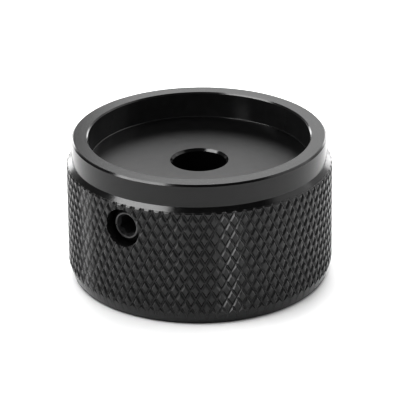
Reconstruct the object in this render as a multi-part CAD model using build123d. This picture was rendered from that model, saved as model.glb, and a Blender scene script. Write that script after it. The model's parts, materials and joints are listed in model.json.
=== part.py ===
from build123d import *

import math
import os

# Turned aluminium control knob for a 6 mm shaft, clamped by one radial grub screw.
#
# The knob stands on its front face: z = 0 is the front face and +Z is the knob's axis, pointing out of
# the shaft bore. The grub screw lies along the Y axis and its socket faces -Y. All sizes are in mm.

# Turned body, from the front face (z = 0) up to the rim that faces the panel
KNOB_RADIUS = 15.0  # over the crests of the grip band
KNOB_HEIGHT = 16.6
FRONT_EDGE = 0.25  # small break between the front face and the front bevel
FRONT_FACE_RADIUS = 14.25
FRONT_BEVEL_RADIUS = 14.5  # where the front bevel meets the edge break
FRONT_BEVEL_HEIGHT = 1.9  # grip band starts here
BOSS_RADIUS = 14.35  # plain collar above the grip band
BOSS_LENGTH = 2.6
SHOULDER_HEIGHT = 0.6  # bevel between the collar and the grip band
RIM_EDGE = 0.2  # break on the outer edge of the rim

# Recess that clears the nut of a panel control
RECESS_RADIUS = 12.5
RECESS_DEPTH = 3.1
RECESS_EDGE = 0.15
RECESS_CORNER = 0.2

# Blind bore for the shaft
SHAFT_RADIUS = 3.0
SHAFT_CLEARANCE = 0.02
BORE_DEPTH = 10.5  # full-diameter length below the recess floor
BORE_EDGE = 0.28
DRILL_POINT = 118.0  # included angle, degrees

# M4 grub screw and its tapped hole, both drawn as plain cylinders at the thread's outer diameter
SCREW_RADIUS = 2.0
SCREW_LENGTH = 10.0
SCREW_HEIGHT = 10.65  # height of the screw's axis above the front face
SCREW_FACE = 14.0  # distance from the knob's axis to the socket end of the screw
THREAD_CLEARANCE = 0.03
ENTRY_RADIUS = 2.17  # plain entry of the tapped hole, wide enough to pass the threads
ENTRY_DEPTH = 2.2
SOCKET_END_EDGE = 0.5  # bevel on the socket end
POINT_EDGE = 0.9  # longer bevel that leads to the cup point
HEX_ACROSS_FLATS = 2.0
HEX_DEPTH = 2.5
HEX_TURN = 22.0  # a corner of the hexagon, degrees up from +X
CUP_RADIUS = 1.0
CUP_DEPTH = 0.55

RIM_Z = KNOB_HEIGHT
FLOOR_Z = RIM_Z - RECESS_DEPTH
SHOULDER_Z = RIM_Z - BOSS_LENGTH
BORE_RADIUS = SHAFT_RADIUS + SHAFT_CLEARANCE
HOLE_RADIUS = SCREW_RADIUS + THREAD_CLEARANCE
OUTSIDE = KNOB_RADIUS + 1.0  # how far the screw hole's cutter reaches, clear of the grip band


def turned_blank():
    """The outer form and the recess, turned in one revolution about Z."""
    outline = [
        (0, 0),
        (FRONT_FACE_RADIUS, 0),
        (FRONT_BEVEL_RADIUS, FRONT_EDGE),
        (KNOB_RADIUS, FRONT_BEVEL_HEIGHT),
        (KNOB_RADIUS, SHOULDER_Z - SHOULDER_HEIGHT),
        (BOSS_RADIUS, SHOULDER_Z),
        (BOSS_RADIUS, RIM_Z - RIM_EDGE),
        (BOSS_RADIUS - RIM_EDGE, RIM_Z),
        (RECESS_RADIUS + RECESS_EDGE, RIM_Z),
        (RECESS_RADIUS, RIM_Z - RECESS_EDGE),
        (RECESS_RADIUS, FLOOR_Z),
        (0, FLOOR_Z),
    ]
    section = make_face(Plane.XZ * Polyline(*outline, close=True))
    blank = revolve(section, Axis.Z)
    corner = blank.edges().filter_by(GeomType.CIRCLE).filter_by(
        lambda e: abs(e.radius - RECESS_RADIUS) < 0.01 and abs(e.center().Z - FLOOR_Z) < 0.01
    )
    return fillet(corner, RECESS_CORNER)


def drilled_bore():
    """The blind shaft bore with its lead-in bevel and the cone that the drill leaves."""
    bottom = FLOOR_Z - BORE_DEPTH
    outline = [
        (0, bottom - BORE_RADIUS / math.tan(math.radians(DRILL_POINT / 2))),
        (BORE_RADIUS, bottom),
        (BORE_RADIUS, FLOOR_Z - BORE_EDGE),
        (BORE_RADIUS + 2 * BORE_EDGE, FLOOR_Z + BORE_EDGE),
        (0, FLOOR_Z + BORE_EDGE),
    ]
    return revolve(make_face(Plane.XZ * Polyline(*outline, close=True)), Axis.Z)


def screw_plane(distance):
    """A plane across the screw's axis at this distance from the knob's axis, with its normal inwards."""
    return Plane(origin=(0, -distance, SCREW_HEIGHT), x_dir=(1, 0, 0), z_dir=(0, 1, 0))


def along_screw(outline):
    """Revolve points of (radius, distance from the knob's axis) about the screw's axis."""
    points = [(radius, -distance, SCREW_HEIGHT) for radius, distance in outline]
    return revolve(make_face(Polyline(*points, close=True)), Axis((0, 0, SCREW_HEIGHT), (0, 1, 0)))


def screw_hole():
    """The tapped hole from the grip band into the shaft bore, with its plain entry."""
    entry = KNOB_RADIUS - ENTRY_DEPTH
    return along_screw([
        (0, 0),
        (HOLE_RADIUS, 0),
        (HOLE_RADIUS, entry),
        (ENTRY_RADIUS, entry),
        (ENTRY_RADIUS, OUTSIDE),
        (0, OUTSIDE),
    ])


def knob_body():
    return turned_blank() - drilled_bore() - screw_hole()


def grub_screw():
    """A socket set screw with a cup point, retracted just clear of the shaft bore."""
    point = SCREW_FACE - SCREW_LENGTH
    shank = along_screw([
        (0, SCREW_FACE),
        (SCREW_RADIUS - SOCKET_END_EDGE, SCREW_FACE),
        (SCREW_RADIUS, SCREW_FACE - SOCKET_END_EDGE),
        (SCREW_RADIUS, point + POINT_EDGE),
        (SCREW_RADIUS - POINT_EDGE, point),
        (CUP_RADIUS, point),
        (0, point + CUP_DEPTH),
    ])
    hexagon = RegularPolygon(HEX_ACROSS_FLATS / 2, 6, major_radius=False, rotation=-HEX_TURN)
    socket = extrude(screw_plane(SCREW_FACE) * hexagon, HEX_DEPTH)
    return shank - socket


os.makedirs("parts", exist_ok=True)
for name, solid in {"knob_body": knob_body(), "grub_screw": grub_screw()}.items():
    solid.label = name
    export_step(solid, f"parts/{name}.step")
    print(name, "volume", round(solid.volume, 1), "mm3")
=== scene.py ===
import json
import math

import bmesh
import bpy
from mathutils import Matrix, Quaternion, Vector


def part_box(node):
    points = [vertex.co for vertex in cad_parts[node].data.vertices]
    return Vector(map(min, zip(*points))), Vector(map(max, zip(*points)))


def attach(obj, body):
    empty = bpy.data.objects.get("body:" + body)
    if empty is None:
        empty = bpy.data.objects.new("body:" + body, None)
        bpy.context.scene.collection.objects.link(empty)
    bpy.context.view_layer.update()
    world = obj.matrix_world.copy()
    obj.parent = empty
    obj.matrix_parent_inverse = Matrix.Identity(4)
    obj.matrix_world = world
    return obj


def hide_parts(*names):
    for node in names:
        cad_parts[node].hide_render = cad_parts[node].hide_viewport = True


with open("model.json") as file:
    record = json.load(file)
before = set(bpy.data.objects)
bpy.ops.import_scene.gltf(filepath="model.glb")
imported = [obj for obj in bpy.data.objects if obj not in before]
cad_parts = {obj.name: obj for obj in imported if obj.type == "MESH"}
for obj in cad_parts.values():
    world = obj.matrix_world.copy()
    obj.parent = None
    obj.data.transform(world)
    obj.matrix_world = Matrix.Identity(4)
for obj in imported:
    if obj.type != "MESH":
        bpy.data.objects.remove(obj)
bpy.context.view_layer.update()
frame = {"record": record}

# ---------------------------------------------------------------- sizes, in metres
MM = 0.001
mounts = {m["name"]: m for m in frame["record"]["mounts"]}
_, knob_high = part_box("knob_body")
_, screw_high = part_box("grub_screw")

KNOB_RADIUS = knob_high.x
KNOB_HEIGHT = knob_high.z
FRONT_EDGE = 0.25 * MM
FRONT_FACE_RADIUS = 14.25 * MM
FRONT_BEVEL_RADIUS = 14.5 * MM
FRONT_BEVEL_HEIGHT = 1.9 * MM
BOSS_RADIUS = 14.35 * MM
BOSS_LENGTH = 2.6 * MM
SHOULDER_HEIGHT = 0.6 * MM
RIM_EDGE = 0.2 * MM
SHOULDER_Z = KNOB_HEIGHT - BOSS_LENGTH
GRIP_TOP = SHOULDER_Z - SHOULDER_HEIGHT

RECESS_RADIUS = mounts["nut_recess"]["dims"]["r_mm"] * MM
RECESS_DEPTH = 3.1 * MM
RECESS_EDGE = 0.15 * MM
RECESS_CORNER = 0.2 * MM
RECESS_CORNER_STEPS = 4
FLOOR_Z = KNOB_HEIGHT - RECESS_DEPTH

BORE_RADIUS = mounts["shaft_bore"]["dims"]["r_mm"] * MM
BORE_EDGE = 0.28 * MM
BORE_DEPTH = 10.5 * MM
BORE_BOTTOM = FLOOR_Z - BORE_DEPTH
DRILL_HALF_ANGLE = math.radians(59)

# Diamond knurl at about 1 mm normal pitch: grooves running both ways round the grip
KNURL_HANDS = [
    {"hand": 1, "starts": 82, "angle": math.radians(28.1), "turn": math.radians(-0.06)},
    {"hand": -1, "starts": 81, "angle": math.radians(30.6), "turn": math.radians(0.44)},
]
# Half of a groove's section: distance from its middle, and depth
KNURL_SECTION_MM = [(0.045, 0.19), (0.19, 0.06), (0.25, 0.02), (0.33, 0)]
# Above the crests the cutter is this much wider on each side, up to this height
KNURL_FLARE = 0.02 * MM
KNURL_CLEARANCE = 0.12 * MM
# How far the cutters run out over the front bevel and over the shoulder
KNURL_BELOW_GRIP = 1.3 * MM
KNURL_ABOVE_GRIP = 0.5 * MM
KNURL_STEPS = 19
LATHE_STEPS = 320

# Grub screw along Y, and its tapped hole; distances along it run from the knob's axis towards -Y
SCREW_Z = mounts["hex_socket"]["pos_m"][2]
SCREW_FACE = -mounts["hex_socket"]["pos_m"][1]
SCREW_POINT = -screw_high.y
THREAD_PITCH = 0.7 * MM
THREAD_RADIUS = screw_high.x
THREAD_DEPTH = 0.379 * MM
THREAD_CREST = THREAD_PITCH / 8
THREAD_ROOT = THREAD_PITCH / 4
THREAD_CLEARANCE = 0.03 * MM
THREAD_STEPS = 48
ENTRY_RADIUS = 2.17 * MM
ENTRY_DEPTH = 2.2 * MM
ENTRY_TAPER = 0.3 * MM
TAP_INNER_END = 0.5 * MM
SOCKET_END_EDGE = 0.5 * MM
POINT_EDGE = 0.9 * MM
CUP_RADIUS = 1.0 * MM
CUP_DEPTH = 0.55 * MM
HEX_ACROSS_FLATS = 2.0 * MM
HEX_DEPTH = 2.5 * MM
HEX_BOTTOM_CONE = 0.5 * MM
HEX_TURN = math.radians(22)
HEX_MOUTH_RADIUS = 1.31 * MM
HEX_MOUTH_SLOPE = 1.7
SCREW_LATHE_STEPS = 96
# How far a tool stands out past the surface that it cuts or trims
HOLE_MARGIN = 1 * MM
HEX_MARGIN = 0.5 * MM
BLANK_MARGIN = 0.1 * MM

KNOB_SMOOTH_ANGLE = math.radians(32)
SCREW_SMOOTH_ANGLE = math.radians(20)


# ---------------------------------------------------------------- mesh helpers
def add_mesh(name, vertices, faces):
    """A new mesh object with its normals turned outwards."""
    mesh = bpy.data.meshes.new(name)
    mesh.from_pydata(vertices, [], faces)
    solid = bmesh.new()
    solid.from_mesh(mesh)
    bmesh.ops.recalc_face_normals(solid, faces=solid.faces)
    solid.to_mesh(mesh)
    solid.free()
    made = bpy.data.objects.new(name, mesh)
    bpy.context.scene.collection.objects.link(made)
    return made


def combine(target, tool, operation):
    """Cut target with tool, or keep only what they share, and remove tool."""
    step = target.modifiers.new(operation, "BOOLEAN")
    step.operation = operation
    step.solver = "MANIFOLD"
    step.object = tool
    graph = bpy.context.evaluated_depsgraph_get()
    result = bpy.data.meshes.new_from_object(target.evaluated_get(graph))
    old = target.data
    target.modifiers.clear()
    target.data = result
    result.name = target.name
    bpy.data.meshes.remove(old)
    spent = tool.data
    bpy.data.objects.remove(tool)
    bpy.data.meshes.remove(spent)
    if not result.polygons:
        raise RuntimeError(f"{operation} on {target.name} left nothing")


def lathe(name, outline, steps, axis="Z", origin=(0, 0, 0)):
    """Revolve (radius, height) points about an axis. The first and last points lie on the axis."""
    rings = [[] for _ in outline]
    vertices = []
    for ring, (radius, height) in zip(rings, outline):
        count = steps if radius > 0 else 1
        for k in range(count):
            turn = 2 * math.pi * k / steps
            x, y = radius * math.cos(turn), radius * math.sin(turn)
            ring.append(len(vertices))
            vertices.append((x, y, height) if axis == "Z" else (x, -height, y))
    faces = []
    for low, high in zip(rings, rings[1:]):
        for k in range(steps):
            corners = [
                low[k % len(low)],
                low[(k + 1) % len(low)],
                high[(k + 1) % len(high)],
                high[k % len(high)],
            ]
            faces.append(list(dict.fromkeys(corners)))
    made = add_mesh(name, vertices, faces)
    made.data.transform(Matrix.Translation(origin))
    return made


def arc(centre, radius, start, end, count):
    """Points on a circle in the lathe's section, from one angle to another in degrees."""
    turns = [math.radians(start + (end - start) * k / count) for k in range(count + 1)]
    return [(centre[0] + radius * math.cos(t), centre[1] + radius * math.sin(t)) for t in turns]


def sharpen(piece, angle):
    """Smooth shading across shallow edges, and crisp edges elsewhere."""
    piece.data.shade_smooth()
    piece.data.set_sharp_from_angle(angle=angle)


# ---------------------------------------------------------------- knob body
def turned_blank():
    """The turned body before knurling: one closed section, revolved."""
    drill_point = BORE_BOTTOM - BORE_RADIUS / math.tan(DRILL_HALF_ANGLE)
    corner_centre = (RECESS_RADIUS - RECESS_CORNER, FLOOR_Z + RECESS_CORNER)
    corner = arc(corner_centre, RECESS_CORNER, start=0, end=-90, count=RECESS_CORNER_STEPS)
    outline = [
        (0, 0),
        (FRONT_FACE_RADIUS, 0),
        (FRONT_BEVEL_RADIUS, FRONT_EDGE),
        (KNOB_RADIUS, FRONT_BEVEL_HEIGHT),
        (KNOB_RADIUS, GRIP_TOP),
        (BOSS_RADIUS, SHOULDER_Z),
        (BOSS_RADIUS, KNOB_HEIGHT - RIM_EDGE),
        (BOSS_RADIUS - RIM_EDGE, KNOB_HEIGHT),
        (RECESS_RADIUS + RECESS_EDGE, KNOB_HEIGHT),
        (RECESS_RADIUS, KNOB_HEIGHT - RECESS_EDGE),
        *corner,
        (BORE_RADIUS + BORE_EDGE, FLOOR_Z),
        (BORE_RADIUS, FLOOR_Z - BORE_EDGE),
        (BORE_RADIUS, BORE_BOTTOM),
        (0, drill_point),
    ]
    return lathe("knurled_knob", outline, LATHE_STEPS)


def groove_cutters(hand, starts, angle, turn):
    """One hand of the knurl: a closed helical wedge for each start."""
    half = [(across * MM, -depth * MM) for across, depth in KNURL_SECTION_MM]
    half.append((half[-1][0] + KNURL_FLARE, KNURL_CLEARANCE))
    section = [(-across, rise) for across, rise in reversed(half)] + half
    low = FRONT_BEVEL_HEIGHT - KNURL_BELOW_GRIP
    high = GRIP_TOP + KNURL_ABOVE_GRIP
    middle = (low + high) / 2
    size = len(section)
    vertices, faces = [], []
    for start in range(starts):
        first = len(vertices)
        for k in range(KNURL_STEPS + 1):
            z = low + (high - low) * k / KNURL_STEPS
            lean = hand * math.tan(angle) * (z - middle) / KNOB_RADIUS
            along = 2 * math.pi * start / starts + turn + lean
            for across, rise in section:
                place = along + across / math.cos(angle) / KNOB_RADIUS
                radius = KNOB_RADIUS + rise
                vertices.append((radius * math.cos(place), radius * math.sin(place), z))
        for k in range(KNURL_STEPS):
            row = first + k * size
            for j in range(size):
                after = (j + 1) % size
                faces.append([row + j, row + after, row + size + after, row + size + j])
        faces.append([first + j for j in range(size)])
        faces.append([first + KNURL_STEPS * size + j for j in range(size)])
    return add_mesh("grooves", vertices, faces)


def threaded_rod(name, outer_radius, inner_distance, outer_distance):
    """A solid M4 thread about the screw's axis, between two distances from the knob's axis.

    One strip of profile points winds round the axis; each turn shares its edge with the next.
    """
    flank = (THREAD_PITCH - THREAD_CREST - THREAD_ROOT) / 2
    profile = [
        (0, outer_radius - THREAD_DEPTH),
        (THREAD_ROOT, outer_radius - THREAD_DEPTH),
        (THREAD_ROOT + flank, outer_radius),
        (THREAD_ROOT + flank + THREAD_CREST, outer_radius),
    ]
    first_turn = math.floor(inner_distance / THREAD_PITCH) - 1
    turns = math.ceil((outer_distance - inner_distance) / THREAD_PITCH) + 2
    rows = turns * THREAD_STEPS
    width = len(profile)
    vertices = []
    for i in range(rows + THREAD_STEPS + 1):
        angle = 2 * math.pi * i / THREAD_STEPS
        lead = (first_turn + i / THREAD_STEPS) * THREAD_PITCH
        for offset, radius in profile:
            distance = lead + offset
            height = SCREW_Z + radius * math.sin(angle)
            vertices.append((radius * math.cos(angle), -distance, height))

    def at(i, j):
        """Profile point j of row i; point 4 is the next turn's point 0."""
        return i * width + j if j < width else (i + THREAD_STEPS) * width

    faces = []
    for i in range(rows):
        for j in range(width):
            faces.append([at(i, j), at(i + 1, j), at(i + 1, j + 1), at(i, j + 1)])
    # Each end is a fan about a point on the axis, half a pitch along from its edge
    for end in (0, rows):
        centre = len(vertices)
        distance = (first_turn + end / THREAD_STEPS + 0.5) * THREAD_PITCH
        vertices.append((0, -distance, SCREW_Z))
        loop = [at(end + k, 0) for k in range(THREAD_STEPS + 1)]
        loop += [at(end, j) for j in range(width - 1, 0, -1)]
        for a, b in zip(loop, loop[1:] + loop[:1]):
            faces.append([centre, a, b])
    # Past the last row, only the points on the shared edge belong to a face
    used = sorted({v for face in faces for v in face})
    renumber = {v: k for k, v in enumerate(used)}
    kept_faces = [[renumber[v] for v in face] for face in faces]
    return add_mesh(name, [vertices[v] for v in used], kept_faces)


def on_screw_axis(name, outline):
    """A lathed tool about the screw's axis; heights are distances from the knob's axis."""
    return lathe(name, outline, SCREW_LATHE_STEPS, axis="Y", origin=(0, 0, SCREW_Z))


def knob_body():
    """The knurled body: the turned blank less its grooves, its tapped hole and the plain entry."""
    body = turned_blank()
    for grooves in KNURL_HANDS:
        combine(body, groove_cutters(**grooves), "DIFFERENCE")
    outside = KNOB_RADIUS + HOLE_MARGIN
    tap = threaded_rod("tap", THREAD_RADIUS + THREAD_CLEARANCE, TAP_INNER_END, outside)
    combine(body, tap, "DIFFERENCE")
    entry = on_screw_axis("entry", [
        (0, KNOB_RADIUS - ENTRY_DEPTH - ENTRY_TAPER),
        (THREAD_RADIUS - THREAD_DEPTH, KNOB_RADIUS - ENTRY_DEPTH - ENTRY_TAPER),
        (ENTRY_RADIUS, KNOB_RADIUS - ENTRY_DEPTH),
        (ENTRY_RADIUS, outside),
        (0, outside),
    ])
    combine(body, entry, "DIFFERENCE")
    sharpen(body, KNOB_SMOOTH_ANGLE)
    return body


def grub_screw():
    """The set screw: a thread trimmed to a bevelled and cupped blank, less its hexagon socket."""
    screw = threaded_rod("socket_screw", THREAD_RADIUS, SCREW_POINT, SCREW_FACE)
    reach = THREAD_RADIUS + BLANK_MARGIN
    blank = on_screw_axis("blank", [
        (0, SCREW_POINT + CUP_DEPTH),
        (CUP_RADIUS, SCREW_POINT),
        (THREAD_RADIUS - POINT_EDGE, SCREW_POINT),
        (reach, SCREW_POINT + POINT_EDGE + BLANK_MARGIN),
        (reach, SCREW_FACE - SOCKET_END_EDGE - BLANK_MARGIN),
        (THREAD_RADIUS - SOCKET_END_EDGE, SCREW_FACE),
        (0, SCREW_FACE),
    ])
    combine(screw, blank, "INTERSECT")
    corner = HEX_ACROSS_FLATS / math.sqrt(3)
    outside = SCREW_FACE + HEX_MARGIN
    hexagon = [
        (0, SCREW_FACE - HEX_DEPTH - HEX_BOTTOM_CONE),
        (corner, SCREW_FACE - HEX_DEPTH),
        (corner, outside),
        (0, outside),
    ]
    socket = lathe("socket", hexagon, steps=6, axis="Y")
    turned = Matrix.Rotation(-HEX_TURN, 4, "Y")
    socket.data.transform(Matrix.Translation((0, 0, SCREW_Z)) @ turned)
    combine(screw, socket, "DIFFERENCE")
    lead = HEX_MOUTH_RADIUS * HEX_MOUTH_SLOPE
    countersink = on_screw_axis("lead_in", [
        (0, SCREW_FACE - lead),
        (2 * HEX_MOUTH_RADIUS, SCREW_FACE + lead),
        (0, SCREW_FACE + lead),
    ])
    combine(screw, countersink, "DIFFERENCE")
    sharpen(screw, SCREW_SMOOTH_ANGLE)
    return screw


# ---------------------------------------------------------------- materials
# Most of a noise texture's values lie between these
NOISE_LOW = 0.3
NOISE_HIGH = 0.7
# A mask's margin about the surface that it takes in or leaves out
MASK_EDGE = 0.03 * MM
TURNING_DEPTH = 0.004 * MM


def new_material(name, base, roughness, ior):
    """A Principled material whose plain values sit on the shader's own sockets."""
    material = bpy.data.materials.new(name)
    material.use_nodes = True
    shader = material.node_tree.nodes["Principled BSDF"]
    shader.inputs["Base Color"].default_value = (*base, 1)
    shader.inputs["Roughness"].default_value = roughness
    shader.inputs["IOR"].default_value = ior
    return material, material.node_tree, shader


def place_on_knob(tree):
    """The knob's own coordinates, and the distance from its axis and the height among them."""
    place = tree.nodes.new("ShaderNodeTexCoord")
    split = tree.nodes.new("ShaderNodeSeparateXYZ")
    flat = tree.nodes.new("ShaderNodeCombineXYZ")
    radius = tree.nodes.new("ShaderNodeVectorMath")
    radius.operation = "LENGTH"
    tree.links.new(place.outputs["Object"], split.inputs[0])
    tree.links.new(split.outputs["X"], flat.inputs["X"])
    tree.links.new(split.outputs["Y"], flat.inputs["Y"])
    tree.links.new(flat.outputs[0], radius.inputs[0])
    return place, radius.outputs["Value"], split.outputs["Z"]


def turning_lines(tree, reach, height, scale):
    """Faint lines round the axis: noise that depends on distance and height, and not on angle."""
    ring = tree.nodes.new("ShaderNodeCombineXYZ")
    lines = tree.nodes.new("ShaderNodeTexNoise")
    lines.noise_dimensions = "2D"
    lines.inputs["Scale"].default_value = scale
    lines.inputs["Detail"].default_value = 3
    tree.links.new(reach, ring.inputs["X"])
    tree.links.new(height, ring.inputs["Y"])
    tree.links.new(ring.outputs[0], lines.inputs["Vector"])
    return lines.outputs["Fac"]


def mottled(tree, place, scale, low, high):
    """Slow noise in space, mapped to a range of values."""
    noise = tree.nodes.new("ShaderNodeTexNoise")
    noise.inputs["Scale"].default_value = scale
    noise.inputs["Detail"].default_value = 4
    spread = tree.nodes.new("ShaderNodeMapRange")
    spread.inputs["From Min"].default_value = NOISE_LOW
    spread.inputs["From Max"].default_value = NOISE_HIGH
    spread.inputs["To Min"].default_value = low
    spread.inputs["To Max"].default_value = high
    tree.links.new(place.outputs["Object"], noise.inputs["Vector"])
    tree.links.new(noise.outputs["Fac"], spread.inputs["Value"])
    return spread.outputs["Result"]


def tinted(tree, amount, dark, light):
    """A colour between two tones, driven by a 0 to 1 value."""
    mix = tree.nodes.new("ShaderNodeMix")
    mix.data_type = "RGBA"
    mix.inputs["A"].default_value = (*dark, 1)
    mix.inputs["B"].default_value = (*light, 1)
    tree.links.new(amount, mix.inputs["Factor"])
    return mix.outputs["Result"]


def bumped(tree, height, strength, distance):
    """A normal tilted by a height between 0 and 1, where 1 stands for the distance."""
    bump = tree.nodes.new("ShaderNodeBump")
    bump.inputs["Strength"].default_value = strength
    bump.inputs["Distance"].default_value = distance
    tree.links.new(height, bump.inputs["Height"])
    return bump.outputs["Normal"]


def within(tree, value, low, high):
    """1 where the value lies between two limits, else 0."""
    compare = tree.nodes.new("ShaderNodeMath")
    compare.operation = "COMPARE"
    compare.inputs[1].default_value = (low + high) / 2
    compare.inputs[2].default_value = (high - low) / 2
    tree.links.new(value, compare.inputs[0])
    return compare.outputs[0]


def both(tree, first, second):
    """The product of two masks."""
    product = tree.nodes.new("ShaderNodeMath")
    product.operation = "MULTIPLY"
    tree.links.new(first, product.inputs[0])
    tree.links.new(second, product.inputs[1])
    return product.outputs[0]


def chosen(tree, mask, plain, masked, kind="FLOAT"):
    """One value or colour where the mask is 0, and another where it is 1."""
    mix = tree.nodes.new("ShaderNodeMix")
    mix.data_type = kind
    tree.links.new(mask, mix.inputs["Factor"])
    tree.links.new(plain, mix.inputs["A"])
    tree.links.new(masked, mix.inputs["B"])
    return mix.outputs["Result"]


def anodised_black():
    """Dyed and sealed anodising over turned aluminium.

    The grip, its front bevel and the recess wall get a lighter base colour than the collar, painted
    light in place of light that they would catch, and the recess floor is rougher.
    """
    material, tree, shader = new_material(
        "anodised_black", base=(0.009, 0.009, 0.0091), roughness=0.16, ior=1.513
    )
    place, reach, height = place_on_knob(tree)
    recess_wall = within(tree, reach, RECESS_RADIUS - MASK_EDGE, RECESS_RADIUS + MASK_EDGE)
    recess_floor = within(tree, height, FLOOR_Z - MASK_EDGE, FLOOR_Z + MASK_EDGE)
    grip = both(
        tree,
        within(tree, reach, BOSS_RADIUS + MASK_EDGE, KNOB_RADIUS + MASK_EDGE),
        within(tree, height, FRONT_EDGE, GRIP_TOP),
    )
    tone = mottled(tree, place, scale=900, low=0, high=1)
    turned = tinted(tree, tone, dark=(0.007, 0.007, 0.0071), light=(0.011, 0.011, 0.0112))
    # Painted light: the recess wall gets a lighter tone than the collar, in place of light that the
    # lamps don't bring into the recess
    wall_painted_light = tinted(tree, tone, dark=(0.021, 0.021, 0.0214), light=(0.027, 0.027, 0.0275))
    # Painted light: the grip and its front bevel get a lighter tone than the collar, in place of the
    # light that they reflect
    grip_painted_light = tinted(tree, tone, dark=(0.016, 0.016, 0.0163), light=(0.022, 0.022, 0.0224))
    colour = chosen(tree, recess_wall, turned, wall_painted_light, kind="RGBA")
    colour = chosen(tree, grip, colour, grip_painted_light, kind="RGBA")
    fine = mottled(tree, place, scale=1500, low=0.15, high=0.18)
    coarse = mottled(tree, place, scale=1500, low=0.275, high=0.295)
    lines = turning_lines(tree, reach, height, scale=14000)
    normal = bumped(tree, lines, strength=0.25, distance=TURNING_DEPTH)
    tree.links.new(colour, shader.inputs["Base Color"])
    tree.links.new(chosen(tree, recess_floor, fine, coarse), shader.inputs["Roughness"])
    tree.links.new(normal, shader.inputs["Normal"])
    return material


def black_oxide():
    """Alloy steel with a thin black oxide."""
    material, tree, shader = new_material(
        "black_oxide", base=(0.025, 0.025, 0.0257), roughness=0.3, ior=1.68
    )
    place = tree.nodes.new("ShaderNodeTexCoord")
    tone = mottled(tree, place, scale=2500, low=0, high=1)
    colour = tinted(tree, tone, dark=(0.017, 0.017, 0.0175), light=(0.042, 0.042, 0.043))
    gloss = mottled(tree, place, scale=4000, low=0.26, high=0.34)
    tree.links.new(colour, shader.inputs["Base Color"])
    tree.links.new(gloss, shader.inputs["Roughness"])
    return material


def paper_white():
    """The plain pale floor."""
    material, _, _ = new_material("paper_white", base=(0.86, 0.86, 0.86), roughness=0.9, ior=1.3)
    return material


# ---------------------------------------------------------------- the two pieces
# The cuts leave an empty material slot on each mesh, which is cleared
body = knob_body()
body.data.materials.clear()
body.data.materials.append(anodised_black())
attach(body, "knob")
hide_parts("knob_body")

screw = grub_screw()
screw.data.materials.clear()
screw.data.materials.append(black_oxide())
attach(screw, "screw")
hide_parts("grub_screw")

# ---------------------------------------------------------------- floor, camera and lights
CAMERA_AZIMUTH = math.radians(35.2)
CAMERA_PITCH = math.radians(24.04)
CAMERA_ROLL = math.radians(-0.639)
CAMERA_DISTANCE = 339.1 * MM
CAMERA_LENS_MM = 271.5
CAMERA_ASIDE = 0.108 * MM
CAMERA_BELOW = 7.4 * MM
CAMERA_CLIP = (0.01, 20)
# The room's light fades from one radiance to the other between these elevations
ROOM_RADIANCE = 0.2
CEILING_RADIANCE = 0.036
FADE_START = math.radians(30)
FADE_END = math.radians(60)
FLOOR_HALF = 3
FLOOR_DROP = 0.02 * MM


def direction(azimuth, elevation):
    """Unit vector to a place round the object; azimuth 0 is the camera's side, + is its right."""
    turn = CAMERA_AZIMUTH + math.radians(azimuth)
    rise = math.radians(elevation)
    level = math.cos(rise)
    return Vector((math.sin(turn) * level, -math.cos(turn) * level, math.sin(rise)))


def make_camera():
    """The photo's view; the aim is beside and below the centre of the knob's rim plane."""
    data = bpy.data.cameras.new("camera")
    data.lens = CAMERA_LENS_MM
    data.clip_start, data.clip_end = CAMERA_CLIP
    camera = bpy.data.objects.new("camera", data)
    bpy.context.scene.collection.objects.link(camera)
    back = direction(0, math.degrees(CAMERA_PITCH))
    level = Vector((math.cos(CAMERA_AZIMUTH), math.sin(CAMERA_AZIMUTH), 0))
    upright = back.cross(level)
    right = math.cos(CAMERA_ROLL) * level + math.sin(CAMERA_ROLL) * upright
    up = back.cross(right)
    aim = Vector((0, 0, KNOB_HEIGHT)) + right * CAMERA_ASIDE - up * CAMERA_BELOW
    place = aim + back * CAMERA_DISTANCE
    turned = Matrix((right, up, back)).transposed().to_4x4()
    camera.matrix_world = Matrix.Translation(place) @ turned
    bpy.context.scene.camera = camera


def softbox(name, at, distance, size, radiance, spin=0, reflected=True):
    """A rectangular lamp that faces the object, as bright all over as the radiance says.

    Its place is an azimuth and an elevation in degrees. Its distance, width and height are in metres.
    """
    width, height = size
    data = bpy.data.lights.new(name, "AREA")
    data.shape = "RECTANGLE"
    data.size, data.size_y = width, height
    data.energy = radiance * math.pi * width * height
    lamp = bpy.data.objects.new(name, data)
    bpy.context.scene.collection.objects.link(lamp)
    towards = direction(*at)
    lamp.location = towards * distance
    lamp.rotation_mode = "QUATERNION"
    facing = towards.to_track_quat("Z", "Y")
    lamp.rotation_quaternion = facing @ Quaternion((0, 0, 1), math.radians(spin))
    lamp.visible_glossy = reflected


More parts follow.
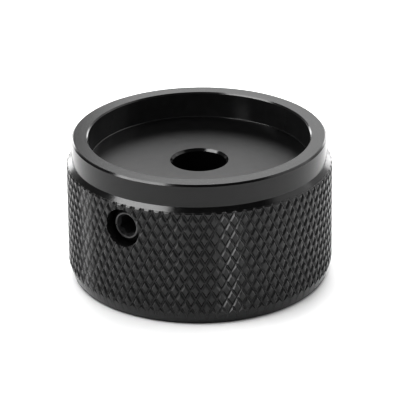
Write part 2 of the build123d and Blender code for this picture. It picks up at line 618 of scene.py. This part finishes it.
def make_world():
    """A dim room, darker overhead than near the horizon."""
    world = bpy.data.worlds.new("studio")
    bpy.context.scene.world = world
    world.use_nodes = True
    tree = world.node_tree
    background = tree.nodes["Background"]
    background.inputs["Color"].default_value = (1, 1, 1, 1)
    place = tree.nodes.new("ShaderNodeTexCoord")
    split = tree.nodes.new("ShaderNodeSeparateXYZ")
    fade = tree.nodes.new("ShaderNodeMapRange")
    fade.inputs["From Min"].default_value = math.sin(FADE_START)
    fade.inputs["From Max"].default_value = math.sin(FADE_END)
    fade.inputs["To Min"].default_value = ROOM_RADIANCE
    fade.inputs["To Max"].default_value = CEILING_RADIANCE
    tree.links.new(place.outputs["Generated"], split.inputs[0])
    tree.links.new(split.outputs["Z"], fade.inputs["Value"])
    tree.links.new(fade.outputs["Result"], background.inputs["Strength"])


def make_floor():
    """A square floor just under the knob's front face."""
    corners = [(x * FLOOR_HALF, y * FLOOR_HALF, 0) for x, y in ((-1, -1), (1, -1), (1, 1), (-1, 1))]
    floor = add_mesh("floor", corners, [[0, 1, 2, 3]])
    floor.data.materials.append(paper_white())
    floor.location.z = -FLOOR_DROP


make_camera()
make_world()
make_floor()
softbox("key_strip", at=(-76.6, 57), distance=0.6, size=(0.37, 0.13), radiance=7.1, spin=35)
softbox("side_panel", at=(98, 28), distance=0.7, size=(0.5, 0.62), radiance=1.08)
softbox("side_panel_back", at=(131, 22), distance=0.7, size=(0.3, 0.55), radiance=0.62)
softbox("backdrop", at=(162.5, 20), distance=0.95, size=(0.65, 0.72), radiance=1.22)
softbox("backdrop_left", at=(204, 14), distance=0.95, size=(0.77, 0.35), radiance=0.26)
softbox("left_card", at=(-124, 3), distance=0.8, size=(1.4, 0.26), radiance=3.6)
softbox("right_card", at=(122, 3), distance=0.8, size=(1.4, 0.28), radiance=1.9)
softbox("window", at=(-45, 10), distance=0.8, size=(0.19, 0.17), radiance=4.4)
# These two light the floor and don't show in reflections
softbox("back_fill", at=(182, 19), distance=0.9, size=(0.9, 0.5), radiance=7, reflected=False)
softbox("overhead", at=(180, 88), distance=0.8, size=(1.1, 1.1), radiance=1.62, reflected=False)
view = bpy.context.scene.view_settings
view.view_transform = "Standard"
view.look = "High Contrast"
